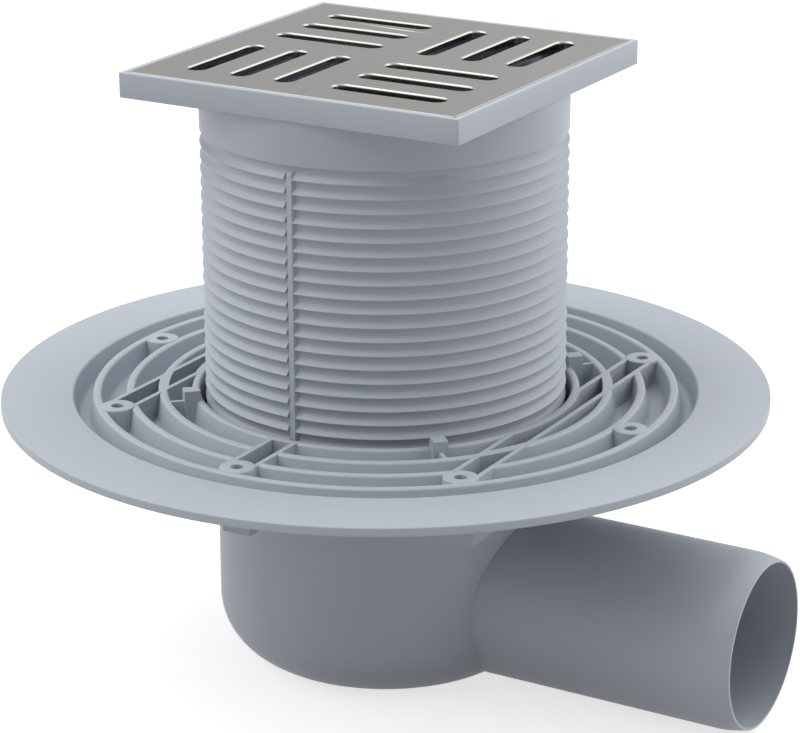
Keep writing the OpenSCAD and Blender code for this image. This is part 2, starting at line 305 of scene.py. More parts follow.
# %% Dress the measured solids
SOLID_FINISH = {
    "riser_seal": black_rubber, "funnel_seal": black_rubber,
    "trap_funnel": insert_plastic, "trap_cup": insert_plastic,
}
for name, material in SOLID_FINISH.items():
    for material_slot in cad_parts[name].material_slots:
        material_slot.material = material
print("dressed:", len(SOLID_FINISH), "solids")

# %% [markdown]
# ## Shapes
# The riser, the grate and the trap body are made afresh, with the small roundings
# that the mould and the press leave, because those are what catch the light.
# Nearly every shape is a stack of closed rings, and neighbouring rings are joined
# by quads. Shapes are drawn in millimetres, and become metres with their mesh.

# %% Rings and quads
def skin(rings):
    """Points and quads of a surface through closed rings of equal length."""
    count = len(rings[0])
    points = [tuple(p) for ring in rings for p in ring]
    faces = [(i * count + j, i * count + (j + 1) % count,
              (i + 1) * count + (j + 1) % count, (i + 1) * count + j)
             for i in range(len(rings) - 1) for j in range(count)]
    return points, faces


# %% A clean mesh
WELD, TOO_SHORT = 0.002 * MM, 0.001 * MM


def mesh_of(name, *parts):
    """One mesh of several lists of points and faces in millimetres, welded."""
    made = bmesh.new()
    for points, faces in parts:
        corners = [made.verts.new(Vector(p) * MM) for p in points]
        for face in faces:
            made.faces.new([corners[k] for k in face])
    return finish_mesh(made, name)


def finish_mesh(made, name, sharp=40):
    """Welds a bmesh, turns its faces outwards, and keeps edges past an angle sharp."""
    bmesh.ops.remove_doubles(made, verts=made.verts, dist=WELD)
    bmesh.ops.dissolve_degenerate(made, edges=made.edges, dist=TOO_SHORT)
    bmesh.ops.recalc_face_normals(made, faces=made.faces)
    for face in made.faces:
        face.smooth = True
    for edge in made.edges:
        edge.smooth = edge.calc_face_angle(math.pi) < math.radians(sharp)
    mesh = bpy.data.meshes.new(name)
    made.to_mesh(mesh)
    made.free()
    return mesh


# %% A finished piece
def show(name, mesh, material, body, stands_for):
    """Puts a finished mesh in the scene in place of a measured solid."""
    mesh.materials.clear()
    mesh.materials.append(material)
    piece = bpy.data.objects.new(name, mesh)
    bpy.context.scene.collection.objects.link(piece)
    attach(piece, body)
    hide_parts(stands_for)
    print(name, "faces:", len(mesh.polygons), "size, mm:",
          [round(d / MM, 1) for d in piece.dimensions])


# %% [markdown]
# ## Repeats
# Ribs lie one below another, the grate's slots lie in rows that turn by a
# quarter, and the collar's bosses and their holes stand in a ring. All of them
# are copies of one shape, so one Geometry Nodes tree lays out a row of copies,
# turns the row round the upright axis, and joins them all.

# %% A tree that repeats a shape in turned rows
def repeat_tree():
    """Node group with the sizes of the repeat as its inputs."""
    tree = bpy.data.node_groups.new("rows_of_copies", "GeometryNodeTree")
    tree.is_modifier = True
    sockets = tree.interface
    sockets.new_socket("Geometry", in_out="INPUT", socket_type="NodeSocketGeometry")
    for label, kind in (("Copies", "Int"), ("Step", "Vector"), ("Turns", "Int"),
                        ("Finish", "Material")):
        sockets.new_socket(label, in_out="INPUT", socket_type="NodeSocket" + kind)
    sockets.new_socket("Geometry", in_out="OUTPUT", socket_type="NodeSocketGeometry")
    graph = Graph(tree)
    start = tree.nodes.new("NodeGroupInput")
    given = {socket.name: Value(graph, socket) for socket in start.outputs if socket.name}
    row_points = graph.node("GeometryNodeMeshLine", {"mode": "OFFSET"}, {
        "Count": given["Copies"], "Offset": given["Step"]})
    row = graph.node("GeometryNodeInstanceOnPoints", values={
        "Points": row_points, "Instance": given["Geometry"]})
    turn_points = graph.node("GeometryNodeMeshLine", {"mode": "OFFSET"}, {
        "Count": given["Turns"], "Offset": (0, 0, 0)})
    angle = graph.node("GeometryNodeInputIndex") * (2 * math.pi) / given["Turns"]
    spin = graph.node("ShaderNodeCombineXYZ", values={"Z": angle})
    rows = graph.node("GeometryNodeInstanceOnPoints", values={
        "Points": turn_points, "Instance": row, "Rotation": spin})
    whole = graph.node("GeometryNodeRealizeInstances", values={"Geometry": rows})
    welded = graph.node("GeometryNodeMergeByDistance", values={
        "Geometry": whole, "Distance": WELD})
    done = graph.node("GeometryNodeSetMaterial", values={
        "Geometry": welded, "Material": given["Finish"]})
    end = tree.nodes.new("NodeGroupOutput")
    tree.links.new(done.socket, end.inputs[0])
    return tree


ROWS = repeat_tree()
print("nodes in the tree:", len(ROWS.nodes))


# %% A shape, repeated
def repeated(mesh, copies, step, turns, material):
    """Points, in millimetres, and faces of a shape that the tree repeats."""
    maker = bpy.data.objects.new("maker", mesh)
    bpy.context.scene.collection.objects.link(maker)
    modifier = maker.modifiers.new("rows", "NODES")
    modifier.node_group = ROWS
    keys = {item.name: item.identifier for item in ROWS.interface.items_tree
            if item.in_out == "INPUT"}
    modifier[keys["Copies"]] = copies
    modifier[keys["Step"]] = [s * MM for s in step]
    modifier[keys["Turns"]] = turns
    modifier[keys["Finish"]] = material
    evaluated = maker.evaluated_get(bpy.context.evaluated_depsgraph_get())
    plain = bpy.data.meshes.new_from_object(evaluated)
    maker.modifiers.remove(modifier)
    bpy.data.objects.remove(maker)
    points = [tuple(v.co / MM) for v in plain.vertices]
    faces = [tuple(f.vertices) for f in plain.polygons]
    bpy.data.meshes.remove(plain)
    print("repeated:", copies * turns, "copies,", len(faces), "faces")
    return points, faces


# %% [markdown]
# ## Riser
# The riser is one moulding: a square head with a thin rim, a short neck, and a
# tube whose ribs grip the seal, so that it can be sawn off between any two of
# them. Seen in section a rib is a sawtooth. An upright bar crosses the ribs on
# two sides, where the halves of the mould meet. One rib is drawn, then repeated.

# %% Sizes of the riser, in millimetres
riser_lo, riser_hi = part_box("riser")
HEAD_TOP = round(riser_hi.z / MM, 2)
HEAD_SIDE = round((riser_hi.x - riser_lo.x) / MM, 2)
RISER_END = round(riser_lo.z / MM, 2)
HEAD_HEIGHT, HEAD_CORNER = 7, 0.35
RIM, RIM_ROUND = 1.7, 0.3
GRATE_SEAT_DEPTH, GRATE_LEDGE = 2, 2.6
TRAY_THICK = 2
TRAY_FLOOR = HEAD_TOP - HEAD_HEIGHT + TRAY_THICK
RISER_RADIUS, GROOVE, RISER_WALL = 51.7, 1.3, 2
GROOVE_RADIUS = RISER_RADIUS - GROOVE
BORE_RADIUS = GROOVE_RADIUS - RISER_WALL
RIB_PITCH, RIBS = 3.95, 24
RIB_TOP = RISER_END + RIBS * RIB_PITCH
LIP_ROUND, LIP_FACE, GROOVE_ROUND = 0.1, 0.3, 0.15
GROOVE_HEIGHT = 0.5 * RIB_PITCH
print("riser from", RISER_END, "to", HEAD_TOP, "with a head of", HEAD_SIDE)

# %% [markdown]
# Every ring of the riser has its points in the same directions, whether it is a
# circle or a square, so that a circle can be joined to a square. The directions
# are close together at the square's corners and beside the bars' notches.

# %% Directions in which the riser's rings have points
CORNER_SPREAD = math.degrees(math.atan2(
    HEAD_SIDE / 2, HEAD_SIDE / 2 - HEAD_CORNER)) - 45
CORNER_STEPS = [-0.7, -0.35, 0, 0.35, 0.7]
SIDE_STEPS = 38
NOTCH_FROM, NOTCH_TO = -90.75, -89.85
NOTCH_EDGE = 0.04


def round_directions():
    """Angles round the axis, with a bunch of them at the square's corners."""
    side = np.linspace(-45 + CORNER_SPREAD, 45 - CORNER_SPREAD, SIDE_STEPS + 1)
    corner = [45 + CORNER_SPREAD * share for share in CORNER_STEPS]
    angles = [90 * quarter + a for quarter in range(4) for a in list(side) + corner]
    for half_turn in (0, 180):
        angles += [(edge + half_turn + slip) % 360 for edge in (NOTCH_FROM, NOTCH_TO)
                   for slip in (-NOTCH_EDGE, NOTCH_EDGE)]
    return np.radians(sorted({round(a % 360, 4) for a in angles}))


ANGLES = round_directions()
print("directions:", len(ANGLES))


# %% Circles and squares
def circle(radius, height):
    """Round ring."""
    return [(radius * math.cos(a), radius * math.sin(a), height) for a in ANGLES]


def notched_circle(radius, height):
    """Circle that falls back to the groove at the left side of each bar."""
    ring = []
    for a in ANGLES:
        turn = math.degrees(a) % 180 - 90
        inside = NOTCH_FROM + 90 < turn < NOTCH_TO + 90
        r = min(radius, GROOVE_RADIUS + GROOVE_ROUND) if inside else radius
        ring.append((r * math.cos(a), r * math.sin(a), height))
    return ring


def square(half, corner, height, least=0):
    """Square ring with rounded corners, nowhere nearer to the axis than least."""
    ring = []
    for a in ANGLES:
        across, along = sorted((abs(math.cos(a)), abs(math.sin(a))))
        reach = half / along
        flat = half - corner
        if across * reach > flat:
            middle = flat * (across + along)
            reach = middle + math.sqrt(corner ** 2 - 2 * flat ** 2 + middle ** 2)
        reach = max(reach, least)
        ring.append((reach * math.cos(a), reach * math.sin(a), height))
    return ring


# %% [markdown]
# A rounded edge a few tenths of a millimetre wide needs only one or two points
# between its ends. They are given as shares of its radius: the middle of a quarter
# arc stays about 0.3 of the radius away from both sides of the corner. The brow is
# the rib's upper edge, where its flare turns down into the upright lip.

# %% One rib, and the stack of ribs
ARC_MIDDLE = 0.3
FLARE_CURVE = ((0.03, 0.1), (0.12, 0.24), (0.55, 0.62))
BROW_IN, BROW_ABOVE, BROW_BELOW = 0.06, 0.05, 0.06


def rib_band():
    """Rings of one rib, from the groove's top to the rib's underside."""
    flare = RIB_PITCH - GROOVE_HEIGHT - LIP_FACE
    groove_mouth, lip_top = GROOVE_RADIUS + GROOVE_ROUND, -RIB_PITCH + LIP_FACE
    outline = [(groove_mouth, 0),
               (GROOVE_RADIUS + GROOVE_ROUND * ARC_MIDDLE, -GROOVE_ROUND * ARC_MIDDLE),
               (GROOVE_RADIUS, -GROOVE_ROUND), (GROOVE_RADIUS, -GROOVE_HEIGHT)]
    outline += [(GROOVE_RADIUS + GROOVE * out, -GROOVE_HEIGHT - flare * down)
                for out, down in FLARE_CURVE]
    outline += [(RISER_RADIUS - BROW_IN, lip_top + BROW_ABOVE),
                (RISER_RADIUS, lip_top - BROW_BELOW),
                (RISER_RADIUS, -RIB_PITCH + LIP_ROUND),
                (RISER_RADIUS - LIP_ROUND * ARC_MIDDLE, -RIB_PITCH + LIP_ROUND * ARC_MIDDLE),
                (RISER_RADIUS - LIP_ROUND, -RIB_PITCH), (groove_mouth, -RIB_PITCH)]
    return skin([notched_circle(radius, RIB_TOP + z) for radius, z in outline])


ribs = repeated(mesh_of("rib", rib_band()), RIBS, (0, 0, -RIB_PITCH), 1, grey_plastic)

# %% Head, neck and bore of the riser
ARC_THIRDS = ((0, 1), (0.13, 0.5), (0.5, 0.13), (1, 0))
HEAD_LOW_ROUND = RIM_ROUND / 2


def riser_shell():
    """Rings from the first groove, over the head and down the bore to the end."""
    half, seat = HEAD_SIDE / 2, HEAD_SIDE / 2 - RIM
    underside, ledge = HEAD_TOP - HEAD_HEIGHT, HEAD_TOP - GRATE_SEAT_DEPTH
    tray, corner, inner_corner = seat - GRATE_LEDGE, HEAD_CORNER, HEAD_CORNER / 2
    neck = [circle(GROOVE_RADIUS + GROOVE_ROUND, RIB_TOP),
            circle(RISER_RADIUS - LIP_ROUND, RIB_TOP),
            circle(RISER_RADIUS - LIP_ROUND * ARC_MIDDLE, RIB_TOP + LIP_ROUND * ARC_MIDDLE),
            circle(RISER_RADIUS, RIB_TOP + LIP_ROUND),
            circle(RISER_RADIUS, underside - RIM_ROUND),
            circle(RISER_RADIUS + RIM_ROUND * ARC_MIDDLE, underside - RIM_ROUND * ARC_MIDDLE),
            circle(RISER_RADIUS + RIM_ROUND, underside)]
    low_edge = [square(half - HEAD_LOW_ROUND * inwards, corner, underside + HEAD_LOW_ROUND * up)
                for inwards, up in ((1, 0), (ARC_MIDDLE, ARC_MIDDLE), (0, 1))]
    rim = [square(half - RIM_ROUND * inwards, corner, HEAD_TOP - RIM_ROUND * down)
           for inwards, down in ARC_THIRDS]
    rim += [square(seat + RIM_ROUND * outwards, inner_corner, HEAD_TOP - RIM_ROUND * down)
            for outwards, down in reversed(ARC_THIRDS)]
    inside = [square(seat, inner_corner, ledge), square(tray, corner, ledge, BORE_RADIUS),
              square(tray, corner, TRAY_FLOOR, BORE_RADIUS),
              circle(BORE_RADIUS, TRAY_FLOOR), circle(BORE_RADIUS, RISER_END),
              circle(GROOVE_RADIUS + GROOVE_ROUND, RISER_END)]
    return skin(neck + low_edge + rim + inside)


# %% [markdown]
# A bar crosses the ribs. Its root lies inside the riser's wall, its long edges are
# cut off a little, and its top slopes back into the wall beside the first rib.

# %% Bars across the ribs
BAR_FROM, BAR_TO, BAR_PROUD, BAR_SLOPE = 0.2, 1.8, 0.03, 0.3
BAR_ROOT, BAR_EDGE, BAR_FOOT = 0.3, 0.12, 0.1
SLOPE_FROM, SLOPE_TO, DEPTH_AT_TOP = 0.6, 0.4, 0.1


def upright_bar(turn):
    """Bar from the riser's end to the first rib, with sloping sides."""
    root, face = GROOVE_RADIUS - BAR_ROOT, RISER_RADIUS + BAR_PROUD
    section = [(BAR_FROM, root), (BAR_FROM, face - BAR_EDGE), (BAR_FROM + BAR_EDGE, face),
               (BAR_TO - BAR_EDGE, face), (BAR_TO, face - BAR_EDGE), (BAR_TO + BAR_SLOPE, root)]
    heights = [(RISER_END + BAR_FOOT, 1), (RIB_TOP - SLOPE_FROM * RIB_PITCH, 1),
               (RIB_TOP - SLOPE_TO * RIB_PITCH, DEPTH_AT_TOP)]
    spin = Matrix.Rotation(turn, 3, "Z")
    ends = [[spin @ Vector((root + (radius - root) * share, across, height))
             for across, radius in section] for height, share in heights]
    points, faces = skin(ends)
    last = len(points) - len(section)
    caps = [tuple(range(len(section))), tuple(range(last, len(points)))]
    return points, faces + caps


bars = [upright_bar(math.radians(side)) for side in (-90, 90)]
riser_mesh = mesh_of("riser", riser_shell(), ribs, *bars)
show("riser_moulding", riser_mesh, grey_plastic, "riser", "riser")

# %% [markdown]
# ## Grate
# The grate is a square of stainless sheet. A press cuts twelve slots and rolls
# their edges down, and the sheet's own edge is folded down round it. The slots
# lie in rows of three, and each quarter of the sheet is turned by a quarter.

# %% Sizes of the grate, in millimetres
GRATE_PLAY = 0.3
GRATE_HALF = HEAD_SIDE / 2 - RIM - GRATE_PLAY
SHEET, CUT_EDGE = 1, 0.1
FOLD_DEPTH, FOLD_ROUND, FOLD_FLAT, FOLD_CORNER = 2, 0.15, 0.15, 0.6
FLAT_HALF = GRATE_HALF - FOLD_ROUND - FOLD_FLAT
QUARTERS, SLOTS_IN_ROW = 4, 3
SLOT_LENGTH, SLOT_WIDTH, SLOT_PITCH, SLOT_INSET = 35.4, 6.8, 14, 5.4
ROW_START = SLOT_INSET + SLOT_WIDTH / 2 - SLOT_PITCH / 2
GRID = [0, ROW_START] + [ROW_START + SLOT_PITCH * k
                         for k in range(1, SLOTS_IN_ROW + 1)] + [FLAT_HALF]
print("flat sheet, mm:", round(2 * FLAT_HALF, 1), "across")

# %% [markdown]
# The flat sheet is cut up into oblongs that share their grid lines, one round
# each slot, and margins beside them. Where two of them meet, their points match,
# so welding makes one sheet of them.

# %% A slot's outline, and the sheet round it
ARC_STEPS = 12


def slot_ring(inset, height):
    """Ring along a slot, inset from its edge at the top face."""
    radius = SLOT_WIDTH / 2 - inset
    near, far = SLOT_INSET + SLOT_WIDTH / 2, SLOT_INSET + SLOT_LENGTH - SLOT_WIDTH / 2
    middle = -ROW_START - SLOT_PITCH / 2
    ring = []
    for end, turn in ((far, -90), (near, 90)):
        for k in range(ARC_STEPS + 1):
            a = math.radians(turn + 180 * k / ARC_STEPS)
            ring.append((end + radius * math.cos(a), middle + radius * math.sin(a), height))
    return ring


def tile_edge(height):
    """Outline of one slot's oblong of sheet."""
    low, high = -ROW_START - SLOT_PITCH, -ROW_START
    return [(x, low, height) for x in GRID] + [(x, high, height) for x in reversed(GRID)]


def sheet_with_hole(outside, inside):
    """Flat triangles between an outline and a hole in it."""
    points = outside + inside
    loops = [[Vector(p) for p in loop] for loop in (outside, inside)]
    return points, [tuple(t) for t in tessellate_polygon(loops)]


# %% One rolled slot, and the twelve of them
SLOT_ROLL, ROLL_STEPS = 0.6, 6
LIP_DEPTH, LIP_THICK = 2, 0.7
TOP_MARGIN, UNDER_MARGIN = 0.3, 0.5


def rolled_slot():
    """Sheet round one slot, with its edge rolled down, and its underside."""
    top, under = HEAD_TOP, HEAD_TOP - SHEET
    low, back = HEAD_TOP - LIP_DEPTH, SLOT_ROLL - LIP_THICK
    quarter = [math.radians(90 * k / ROLL_STEPS) for k in range(ROLL_STEPS + 1)]
    roll = [(-TOP_MARGIN, top)]
    roll += [(SLOT_ROLL * math.sin(a), top - SLOT_ROLL * (1 - math.cos(a))) for a in quarter]
    roll += [(SLOT_ROLL, low + CUT_EDGE), (SLOT_ROLL - CUT_EDGE, low), (back, low),
             (back, low + CUT_EDGE / 2), (back - CUT_EDGE, under - CUT_EDGE / 2),
             (-UNDER_MARGIN, under)]
    lip = skin([slot_ring(inset, height) for inset, height in roll])
    return [lip, sheet_with_hole(tile_edge(top), slot_ring(-TOP_MARGIN, top)),
            sheet_with_hole(tile_edge(under), slot_ring(-UNDER_MARGIN, under))]


slot = mesh_of("slot", *rolled_slot())
slots = repeated(slot, SLOTS_IN_ROW, (0, -SLOT_PITCH, 0), QUARTERS, steel_sheet)


# %% Margins of the sheet
def margins():
    """Strips beside the rows, at the sheet's middle and at its edge, both faces."""
    strips = []
    count = len(GRID)
    faces = [(k, k + 1, count + k + 1, count + k) for k in range(count - 1)]
    for turn in range(QUARTERS):
        spin = Matrix.Rotation(math.radians(90 * turn), 3, "Z")
        for low, high in ((-GRID[1], 0), (-GRID[-1], -GRID[-2])):
            for height in (HEAD_TOP, HEAD_TOP - SHEET):
                points = [spin @ Vector((x, y, height)) for y in (low, high) for x in GRID]
                strips.append((points, faces))
    return strips


def edge_ring(out, corner, height):
    """Square ring whose sides have the sheet's grid points and rounded corners."""
    flat = FLAT_HALF + out - corner
    side = sorted([-g for g in GRID[1:]] + GRID)
    side = [max(-flat, min(flat, s)) for s in side]
    ring = []
    for turn in range(QUARTERS):
        spin = Matrix.Rotation(math.radians(90 * turn), 3, "Z")
        local = [(FLAT_HALF + out, s) for s in side]
        local += [(flat + corner * math.cos(a), flat + corner * math.sin(a))
                  for a in (math.radians(22.5 * k) for k in (1, 2, 3))]
        ring += [spin @ Vector((x, y, height)) for x, y in local]
    return ring


# %% The sheet's edge, folded down
FOLD_STEPS, FOLD_INNER_CORNER = 3, 0.1


def folded_edge():
    """Rings from the flat sheet over the fold and back under the sheet."""
    top, low, out = HEAD_TOP, HEAD_TOP - FOLD_DEPTH, FOLD_FLAT + FOLD_ROUND
    rings = [edge_ring(0, 0, top)]
    for k in range(FOLD_STEPS + 1):
        a = math.radians(90 * k / FOLD_STEPS)
        rings.append(edge_ring(FOLD_FLAT + FOLD_ROUND * math.sin(a), FOLD_CORNER * math.sin(a),
                               top - FOLD_ROUND * (1 - math.cos(a))))
    rings += [edge_ring(out, FOLD_CORNER, low + CUT_EDGE),
              edge_ring(out - CUT_EDGE, FOLD_CORNER, low),
              edge_ring(out - SHEET, FOLD_INNER_CORNER, low),
              edge_ring(out - SHEET, FOLD_INNER_CORNER, top - SHEET),
              edge_ring(0, 0, top - SHEET)]
    return skin(rings)


grate_mesh = mesh_of("grate", slots, *margins(), folded_edge())
show("grate_sheet", grate_mesh, steel_sheet, "riser", "grate")

# %% [markdown]
# ## Trap body
# The trap body is the big moulding: bowl, outlet, socket and collar. Nearly all
# of it is turned round the upright axis, so a section is drawn as corners with
# a rounding each, and spun. The outlet, webs, bosses and lugs are joined to it,
# and the pockets, screw holes and the outlet's bore are cut out, as steel cuts
# a mould. Ring walls lean a little, so that the moulding comes off the steel.

# %% Sizes of the trap body, in millimetres
FLANGE_TOP, FLANGE_RADIUS, FLANGE_THICK = 80.7, 109.9, 2.5
CHANNEL_FLOOR, PLATE_UNDER, CHANNEL_RADIUS = 73.7, 71.5, 89.3
SOCKET_PLAY, SOCKET_WALL, SOCKET_LOW_RADIUS = 1.6, 2.2, 57.5
SOCKET_RADIUS = RISER_RADIUS + SOCKET_PLAY
SOCKET_TOP_RADIUS = SOCKET_RADIUS + SOCKET_WALL
LEDGE_TOP, LEDGE_UNDER = 62.1, 59.4
SEAL_GROOVE_RADIUS, SEAL_GROOVE_LOW, SEAL_GROOVE_TOP = 55.0, 68.7, 72.7
RINGS, RING_PITCH, RING_WIDTH = 3, 9.4, 2.3
RING_FOOT, RING_LEAN, EDGE_ROUND = 1.6, 1.2, 0.75
RING_RADII = [SOCKET_TOP_RADIUS + RING_PITCH * k for k in range(1, RINGS + 1)]
BOWL_RADIUS, BOWL_WALL, BOWL_ROUND = 48.8, 2.5, 17.5
print("rings, radius in mm:", [round(radius, 1) for radius in RING_RADII])


# %% Sections with rounded corners
def rounded(corners, fineness=22):
    """Line through (x, y, radius) corners, each with its arc, finer where it is big."""
    line = []
    for before, (x, y, radius), after in zip(
            [corners[-1]] + corners[:-1], corners, corners[1:] + corners[:1]):
        if not radius:
            line.append((x, y))
            continue
        corner = Vector((x, y))
        back = (Vector(before[:2]) - corner).normalized()
        ahead = (Vector(after[:2]) - corner).normalized()
        half = back.angle(ahead) / 2
        reach = radius / math.tan(half)
        centre = corner + (back + ahead).normalized() * radius / math.sin(half)
        first, last = corner + back * reach - centre, corner + ahead * reach - centre
        sweep = first.angle_signed(last)
        steps = max(1, round(abs(math.degrees(sweep)) / fineness * max(1, radius / 2) ** 0.5))
        for k in range(steps + 1):
            arm = first.copy()
            arm.rotate(Matrix.Rotation(-sweep * k / steps, 2))
            line.append(tuple(centre + arm))
    return line


# %% Turned solids and boxes
BIG_STEPS, OUTLET_STEPS, BOSS_STEPS, HOLE_STEPS = 192, 160, 48, 32


def turned(section, count=BIG_STEPS, axis="Z", at=(0, 0, 0)):
    """Solid made by turning an (across, along) section round an axis."""
    rings = []
    for across, along in section:
        ring = [(across * math.cos(a), across * math.sin(a), along)
                for a in np.linspace(0, 2 * math.pi, count, endpoint=False)]
        if axis == "X":
            ring = [(z, x, y) for x, y, z in ring]
        rings.append([tuple(np.add(p, at)) for p in ring])
    return skin(rings + rings[:1])


def block(low, high, turn=0):
    """Box between two corners, turned round the upright axis by degrees."""
    spin = Matrix.Rotation(math.radians(turn), 3, "Z")
    ring = [(low[0], low[1]), (high[0], low[1]), (high[0], high[1]), (low[0], high[1])]
    points = [tuple(spin @ Vector((x, y, z))) for z in (low[2], high[2]) for x, y in ring]
    return points, [(3, 2, 1, 0), (4, 5, 6, 7)] + [
        (k, (k + 1) % 4, (k + 1) % 4 + 4, k + 4) for k in range(4)]


# %% [markdown]
# Booleans join and cut whole solids, as a mould's steel does. The Manifold solver
# is quick and leaves closed meshes, as long as no two faces lie in one plane. That
# is why joined parts sink a little into each other and cuts reach a little past.

# %% Joining and cutting
helpers = []


def tool(name, *parts):
    """Helper object for cutting and joining, which is removed at the end."""
    thing = bpy.data.objects.new(name, mesh_of(name, *parts))
    bpy.context.scene.collection.objects.link(thing)
    helpers.append(thing)
    return thing


def worked(thing, *steps):
    """Joins to and cuts from an object, in order, and bakes the result into it."""
    for operation, other in steps:
        modifier = thing.modifiers.new(other.name, "BOOLEAN")
        modifier.operation, modifier.object, modifier.solver = operation, other, "MANIFOLD"
    evaluated = thing.evaluated_get(bpy.context.evaluated_depsgraph_get())
    result = bpy.data.meshes.new_from_object(evaluated)
    thing.modifiers.clear()
    thing.data = result
    print(thing.name, "after", len(steps), "steps:", len(result.polygons), "faces")
    return thing


# %% Turned section of bowl, socket and collar
UNDER_ROUND, SOCKET_LOW_ROUND, LEDGE_ROUND = 1, 0.4, 0.3
FLANGE_ROOT_ROUND, FLANGE_LOW_ROUND, FLANGE_TOP_ROUND = 0.8, 0.3, 0.4


def ring_corners(radius):
    """Corners of one ring, from its outer foot over its top to its inner foot."""
    inner = radius - RING_WIDTH
    return [(radius + RING_LEAN, CHANNEL_FLOOR, RING_FOOT), (radius, FLANGE_TOP, EDGE_ROUND),
            (inner, FLANGE_TOP, EDGE_ROUND), (inner - RING_LEAN, CHANNEL_FLOOR, RING_FOOT)]


def body_section():
    """Half section, from the axis under the bowl round to the axis inside it."""
    bore = BOWL_RADIUS - BOWL_WALL
    wall_out = CHANNEL_RADIUS + CHANNEL_FLOOR - PLATE_UNDER
    flange_under = FLANGE_TOP - FLANGE_THICK
    corners = [(0, 0, 0), (BOWL_RADIUS, 0, BOWL_ROUND),
               (BOWL_RADIUS, LEDGE_UNDER, UNDER_ROUND),
               (SOCKET_LOW_RADIUS, LEDGE_UNDER, SOCKET_LOW_ROUND),
               (SOCKET_LOW_RADIUS, PLATE_UNDER, UNDER_ROUND),
               (wall_out, PLATE_UNDER, UNDER_ROUND), (wall_out, flange_under, FLANGE_ROOT_ROUND),
               (FLANGE_RADIUS, flange_under, FLANGE_LOW_ROUND),
               (FLANGE_RADIUS, FLANGE_TOP, FLANGE_TOP_ROUND),
               (CHANNEL_RADIUS, FLANGE_TOP, EDGE_ROUND),
               (CHANNEL_RADIUS - RING_LEAN, CHANNEL_FLOOR, RING_FOOT)]
    for radius in reversed(RING_RADII):
        corners += ring_corners(radius)
    corners += [(SOCKET_TOP_RADIUS + RING_LEAN, CHANNEL_FLOOR, RING_FOOT),
                (SOCKET_TOP_RADIUS, FLANGE_TOP, EDGE_ROUND),
                (SOCKET_RADIUS, FLANGE_TOP, EDGE_ROUND),
                (SOCKET_RADIUS, SEAL_GROOVE_TOP, 0), (SEAL_GROOVE_RADIUS, SEAL_GROOVE_TOP, 0),
                (SEAL_GROOVE_RADIUS, SEAL_GROOVE_LOW, 0), (SOCKET_RADIUS, SEAL_GROOVE_LOW, 0),
                (SOCKET_RADIUS, LEDGE_TOP, LEDGE_ROUND), (bore, LEDGE_TOP, LEDGE_ROUND),
                (bore, BOWL_WALL, BOWL_ROUND - BOWL_WALL), (0, BOWL_WALL, 0)]
    return rounded(corners)


body = tool("body", turned(body_section()))

# %% The middle of the walls
# The outlet, the webs and the lugs reach into the middle of a wall and no further:
# this core is cut from them before they are joined.
CORE_RADIUS, CORE_FLOOR, CORE_ROUND, CORE_TOP = 47.5, 1.2, 16.2, 90
CORE_LEDGE, CORE_GROOVE_RADIUS, CORE_GROOVE_TOP = 60.7, 56.2, 73.2
CORE_SOCKET_RADIUS = 54.4
core = tool("core", turned(rounded(
    [(0, CORE_FLOOR, 0), (CORE_RADIUS, CORE_FLOOR, CORE_ROUND), (CORE_RADIUS, CORE_LEDGE, 0),
     (CORE_GROOVE_RADIUS, CORE_LEDGE, 0), (CORE_GROOVE_RADIUS, CORE_GROOVE_TOP, 0),
     (CORE_SOCKET_RADIUS, CORE_GROOVE_TOP, 0), (CORE_SOCKET_RADIUS, CORE_TOP, 0),
     (0, CORE_TOP, 0)])))
print("core faces:", len(core.data.polygons))

# %% [markdown]
# The outlet is turned round its own axis, which lies along X. It grows by a hair
# towards its root, as a moulding does, and its end runs in a soft taper into the
# lead-in that a pipe's socket slides over.

# %% Outlet
OUTLET_RADIUS, OUTLET_BORE, OUTLET_AXIS = 25, 23.1, 25.1
OUTLET_END = round(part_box("trap_body")[1].x / MM, 2)
OUTLET_ROOT, ROOT_DRAFT, STRAIGHT_FROM = 33, 0.08, 58
OUTLET_TAPER, TAPER_BLEND = 5.5, 26
OUTLET_RIM, RIM_END_ROUND = 0.7, 0.25
outlet = tool("outlet", turned(rounded(
    [(0, OUTLET_ROOT, 0), (OUTLET_RADIUS + ROOT_DRAFT, OUTLET_ROOT, 0),
     (OUTLET_RADIUS, STRAIGHT_FROM, 0),
     (OUTLET_RADIUS, OUTLET_END - OUTLET_TAPER, TAPER_BLEND),
     (OUTLET_BORE + OUTLET_RIM, OUTLET_END, RIM_END_ROUND), (0, OUTLET_END, 0)], fineness=3),
    OUTLET_STEPS, "X", (0, 0, OUTLET_AXIS)))
print("outlet ends at", OUTLET_END, "mm and has", len(outlet.data.polygons), "faces")

# %% [markdown]
# Eight screw bosses stand between the second and third ring. Long hollow boxes
# join them under the collar: two along the chords through the diagonal bosses,
# and one each to the front and the back boss. The two bosses in line with the
# outlet have no box and get a longer foot instead.

# %% Webs
BOSSES, BOSS_RADIUS, BOSS_TOP, BOSS_FOOT, BOSS_ROUND = 8, 4.8, 80.9, 68, 0.3
BOSS_CIRCLE = (RING_RADII[1] + RING_RADII[2] - RING_WIDTH) / 2
WEB_GAP, WEB_THICK, WEB_END = 7.2, 1.4, 1.3


def web_boxes(width, low, high, past):
    """Boxes along the chords between diagonal bosses, and those to front and back."""
    side = BOSS_CIRCLE * math.sin(math.pi / 4)
    chords = [block((s * side - width / 2, -side - past, low),
                    (s * side + width / 2, side + past, high)) for s in (-1, 1)]
    spokes = [block((SOCKET_RADIUS, -width / 2, low),
                    (BOSS_CIRCLE + past, width / 2, high), turn) for turn in (90, 270)]
    return chords, spokes


